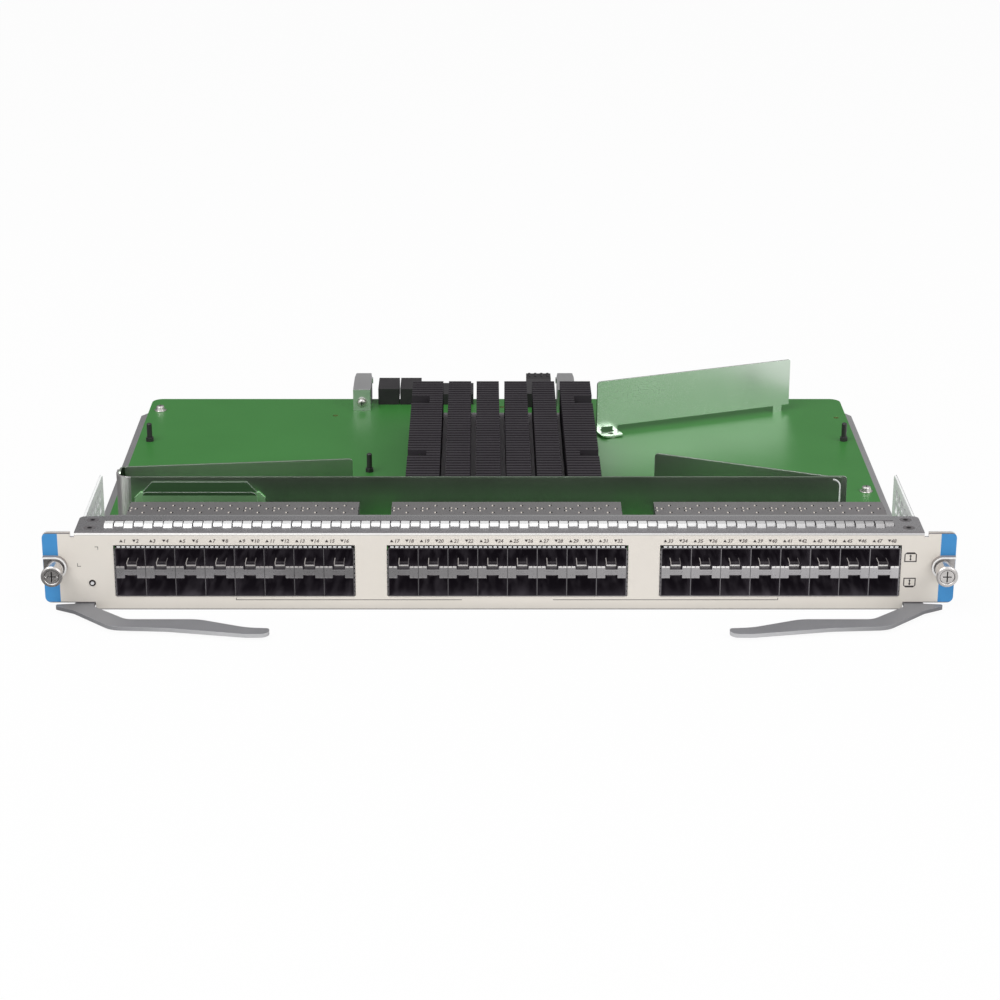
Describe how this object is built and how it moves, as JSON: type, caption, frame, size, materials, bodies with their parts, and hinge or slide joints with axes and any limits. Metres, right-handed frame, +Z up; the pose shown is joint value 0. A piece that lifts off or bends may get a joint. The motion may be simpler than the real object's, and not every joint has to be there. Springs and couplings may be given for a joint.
{
  "type": "switch line card",
  "caption": "Slide-in network card: a folded faceplate with module ports, a circuit board with a finned heat sink and air baffles on a tray, ejector levers and captive screws.",
  "frame": {"origin": "under the middle of the outline, on the tray's underside", "axes": "+X along the faceplate to the right, +Y from the faceplate back to the backplane connectors, +Z up"},
  "size_m": [0.437, 0.3492, 0.0408],
  "materials": {
    "panel_paint": "satin powder coat on the face, bare flange",
    "plated_steel": "satin plated sheet",
    "cage_steel": "satin nickel-plated sheet",
    "spring_fingers": "bright plated spring strip",
    "board_green": "solder mask",
    "sink_anodised": "dark anodised",
    "chip_body": "moulded package",
    "connector_black": "moulded housing",
    "post_black": "moulded",
    "screw_steel": "plated",
    "lever_metal": "fine matt grey",
    "light_guide": "clear moulded lens",
    "guide_metal": "die cast"
  },
  "bodies": {
    "card": {"faceplate": "panel_paint", "panel_stiffener": "plated_steel", "carrier_tray": "plated_steel", "side_ear_left": "plated_steel", "side_ear_right": "plated_steel", "front_baffle": "plated_steel", "baffle_bracket": "plated_steel", "left_baffle": "plated_steel", "right_baffle": "plated_steel", "diagonal_baffle": "plated_steel", "lever_bracket_left": "plated_steel", "lever_bracket_right": "plated_steel", "top_gasket_strip": "spring_fingers", "ear_gasket_left": "spring_fingers", "ear_gasket_right": "spring_fingers", "cage_gasket_left": "spring_fingers", "cage_gasket_middle": "spring_fingers", "cage_gasket_right": "spring_fingers", "cage_shell_left": "cage_steel", "cage_dividers_left": "cage_steel", "cage_separators_left": "cage_steel", "cage_shell_middle": "cage_steel", "cage_dividers_middle": "cage_steel", "cage_separators_middle": "cage_steel", "cage_shell_right": "cage_steel", "cage_dividers_right": "cage_steel", "cage_separators_right": "cage_steel", "cage_connectors_left": "connector_black", "cage_connectors_middle": "connector_black", "cage_connectors_right": "connector_black", "backplane_connector_1": "connector_black", "backplane_connector_2": "connector_black", "backplane_connector_3": "connector_black", "power_connector": "connector_black", "flange_screws": "screw_steel", "board_standoffs": "screw_steel", "pan_head_screws": "screw_steel", "heat_sink_screws": "screw_steel", "guide_screws": "screw_steel", "screw_collar_left": "screw_steel", "screw_ferrule_left": "screw_steel", "screw_spring_left": "screw_steel", "lever_pin_left": "screw_steel", "screw_collar_right": "screw_steel", "screw_ferrule_right": "screw_steel", "screw_spring_right": "screw_steel", "lever_pin_right": "screw_steel", "circuit_board": "board_green", "heat_sink": "sink_anodised", "board_chips": "chip_body", "guide_block_left": "guide_metal", "guide_block_right": "guide_metal", "board_posts": "post_black", "status_light": "light_guide"},
    "lever_left": {"ejector_lever_left": "lever_metal"},
    "lever_right": {"ejector_lever_right": "lever_metal"},
    "screw_left_carrier": {"thrust_washer_left": "screw_steel"},
    "screw_left": {"captive_screw_left": "screw_steel"},
    "screw_right_carrier": {"thrust_washer_right": "screw_steel"},
    "screw_right": {"captive_screw_right": "screw_steel"}
  },
  "joints": [
    {"name": "lever_left_pivot", "type": "hinge", "parent": "card", "child": "lever_left", "pos_m": [-0.1995, -0.1304, 0.00225], "axis": [0, 0, -1], "range_deg": [0, 55]},
    {"name": "screw_left_push", "type": "slide", "parent": "card", "child": "screw_left_carrier", "axis": [0, 1, 0], "range_m": [0, 0.004], "stiffness_N_per_m": 200, "springref_m": -0.006, "deforming": ["screw_spring_left"]},
    {"name": "screw_left_turn", "type": "hinge", "parent": "screw_left_carrier", "child": "screw_left", "pos_m": [-0.2124, -0.1434, 0.0226], "axis": [0, 1, 0], "continuous": true},
    {"name": "lever_right_pivot", "type": "hinge", "parent": "card", "child": "lever_right", "pos_m": [0.1995, -0.1304, 0.00225], "axis": [0, 0, 1], "range_deg": [0, 55]},
    {"name": "screw_right_push", "type": "slide", "parent": "card", "child": "screw_right_carrier", "axis": [0, 1, 0], "range_m": [0, 0.004], "stiffness_N_per_m": 200, "springref_m": -0.006, "deforming": ["screw_spring_right"]},
    {"name": "screw_right_turn", "type": "hinge", "parent": "screw_right_carrier", "child": "screw_right", "pos_m": [0.2124, -0.1434, 0.0226], "axis": [0, 1, 0], "continuous": true}
  ]
}
